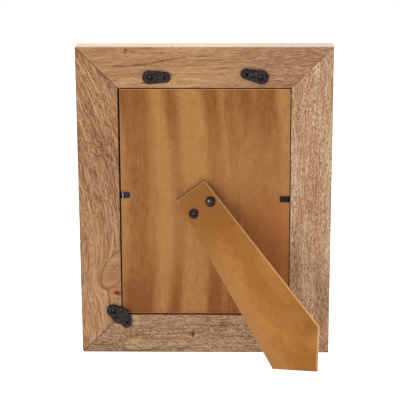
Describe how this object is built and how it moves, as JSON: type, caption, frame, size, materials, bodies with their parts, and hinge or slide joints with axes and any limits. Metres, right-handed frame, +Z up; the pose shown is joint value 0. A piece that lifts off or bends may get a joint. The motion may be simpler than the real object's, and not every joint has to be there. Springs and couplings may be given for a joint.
{
  "type": "easel back photo frame",
  "caption": "Wooden photo frame seen from behind, leaning on a riveted, hinged easel leg, with turn buttons and flexible tabs over the backing board.",
  "frame": {"origin": "on the table, under the middle of the part's box: midway across the frame, and midway between the frame's front bottom edge and the leg's foot", "axes": "+Z up; +X to the right as seen from behind; the back and its leg face -Y and the picture faces +Y"},
  "size_m": [0.195, 0.0876, 0.2447],
  "materials": {
    "frame_wood": "light brown stained hardwood, satin",
    "tongue_wood": "plain beech, raw",
    "stained_board": "warm brown stain, smooth",
    "leg_board": "golden brown stain, smooth",
    "glass": "clear",
    "insert_card": "blank card, matte",
    "button_iron": "black bronze, cast, satin",
    "screw_steel": "blackened",
    "tab_steel": "blackened spring steel",
    "hinge_steel": "blackened steel",
    "rivet_steel": "antique black nickel, semi-gloss"
  },
  "bodies": {
    "frame": {"bottom_rail": "frame_wood", "top_rail": "frame_wood", "left_stile": "frame_wood", "right_stile": "frame_wood", "mitre_tongue_bottom_left": "tongue_wood", "mitre_tongue_top_left": "tongue_wood", "mitre_tongue_bottom_right": "tongue_wood", "mitre_tongue_top_right": "tongue_wood", "glass_pane": "glass", "photo_insert": "insert_card", "backing_board": "stained_board", "hinge_leaf_backing": "hinge_steel", "hinge_pin": "hinge_steel", "backing_rivet_left": "rivet_steel", "backing_rivet_right": "rivet_steel", "button_screw_top_left": "screw_steel", "button_screw_top_right": "screw_steel", "button_screw_corner": "screw_steel", "tab_anchor_left": "tab_steel", "tab_anchor_right": "tab_steel"},
    "leg": {"hinge_leaf_leg": "hinge_steel", "easel_leg": "leg_board", "leg_rivet_rolled": "rivet_steel", "leg_rivet_domed": "rivet_steel"},
    "top_left_button": {"turn_button_top_left": "button_iron"},
    "top_right_button": {"turn_button_top_right": "button_iron"},
    "corner_button": {"turn_button_corner": "button_iron"},
    "left_tab": {"tab_blade_left": "tab_steel"},
    "right_tab": {"tab_blade_right": "tab_steel"}
  },
  "joints": [
    {"name": "leg_hinge", "type": "hinge", "parent": "frame", "child": "leg", "pos_m": [-0.0055, 0.00585, 0.12504], "axis": [0.7986, -0.0993, 0.5936], "range_deg": [0, 23.67]},
    {"name": "top_left_button_turn", "type": "hinge", "parent": "frame", "child": "top_left_button", "pos_m": [-0.0408, -0.01037, 0.21925], "axis": [0, -0.9863, -0.165], "continuous": true},
    {"name": "top_right_button_turn", "type": "hinge", "parent": "frame", "child": "top_right_button", "pos_m": [0.0426, -0.01037, 0.21925], "axis": [0, -0.9863, -0.165], "continuous": true},
    {"name": "corner_button_turn", "type": "hinge", "parent": "frame", "child": "corner_button", "pos_m": [-0.0724, 0.02054, 0.03452], "axis": [0, -0.9863, -0.165], "continuous": true},
    {"name": "left_tab_bend", "type": "hinge", "parent": "frame", "child": "left_tab", "pos_m": [-0.0641, 0.00598, 0.12759], "axis": [0, 0.165, -0.9863], "range_deg": [0, 90]},
    {"name": "right_tab_bend", "type": "hinge", "parent": "frame", "child": "right_tab", "pos_m": [0.0641, 0.00651, 0.12444], "axis": [0, -0.165, 0.9863], "range_deg": [0, 90]}
  ]
}
